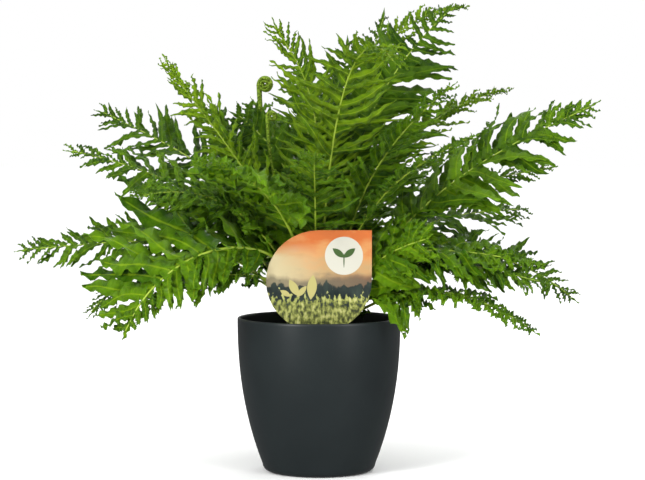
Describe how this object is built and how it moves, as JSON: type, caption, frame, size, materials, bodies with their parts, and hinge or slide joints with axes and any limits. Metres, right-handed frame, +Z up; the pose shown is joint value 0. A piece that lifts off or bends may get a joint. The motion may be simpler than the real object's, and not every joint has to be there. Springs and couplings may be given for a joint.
{
  "type": "potted fern",
  "caption": "Bushy house fern with long lobed fronds and two rolled-up young fronds, in a dark tapered round pot with soil and a teardrop plant tag.",
  "frame": {"origin": "centre of the pot's flat underside, which stands on the surface", "axes": "+Z up along the pot's axis; -Y is the front, where the plant tag faces; +X is to the right seen from the front"},
  "size_m": [0.6309, 0.4504, 0.5187],
  "materials": {
    "pot_plastic": "satin",
    "soil": "matte",
    "crown": "matte",
    "tag_card": "satin",
    "crozier": "satin",
    "frond_old": "satin",
    "frond_dark": "satin",
    "frond_bright": "satin",
    "frond_young": "satin"
  },
  "bodies": {
    "root": {"cover_pot": "pot_plastic", "potting_soil": "soil", "fern_crown": "crown", "plant_tag": "tag_card", "crozier_tall": "crozier", "crozier_short": "crozier", "frond_right_top_dark": "frond_dark", "frond_front_tall_light": "frond_young", "frond_centre_left_tall": "frond_young", "frond_front_left_big": "frond_bright", "frond_right_big": "frond_old", "frond_left_long": "frond_old", "frond_left_upper": "frond_old", "frond_left_top_dark": "frond_dark", "frond_left_top_young": "frond_young", "frond_left_centre_high": "frond_dark", "frond_left_centre_front": "frond_dark", "frond_front_left_light": "frond_bright", "frond_rim_right_bright": "frond_bright", "frond_right_droop": "frond_dark", "frond_right_low_light": "frond_bright", "frond_left_low_dark": "frond_dark", "frond_right_wispy": "frond_young", "frond_right_back_tall": "frond_dark", "frond_back_tall_dark": "frond_dark", "frond_back_tall": "frond_old", "frond_right_top_wisp": "frond_young", "frond_left_mid": "frond_old", "frond_left_back_high": "frond_old", "frond_centre_left_inner": "frond_dark", "frond_right_inner_tall": "frond_old", "frond_right_thin": "frond_old", "frond_front_right_high": "frond_old", "frond_right_mid_dark": "frond_dark", "frond_left_inner_mid": "frond_dark", "frond_front_left_mid": "frond_old", "frond_front_left_low": "frond_old", "frond_front_centre": "frond_old", "frond_front_right_bright": "frond_bright", "frond_right_front_mid": "frond_old", "frond_rim_right_low": "frond_bright", "frond_left_low_back": "frond_dark", "frond_back_left_tall": "frond_old", "frond_right_low_back": "frond_old", "frond_back_right_mid": "frond_old", "frond_back_low_right": "frond_dark", "frond_back_mid": "frond_old", "frond_back_low": "frond_old", "frond_back_left_mid": "frond_dark", "frond_left_back_low": "frond_dark"}
  },
  "joints": []
}
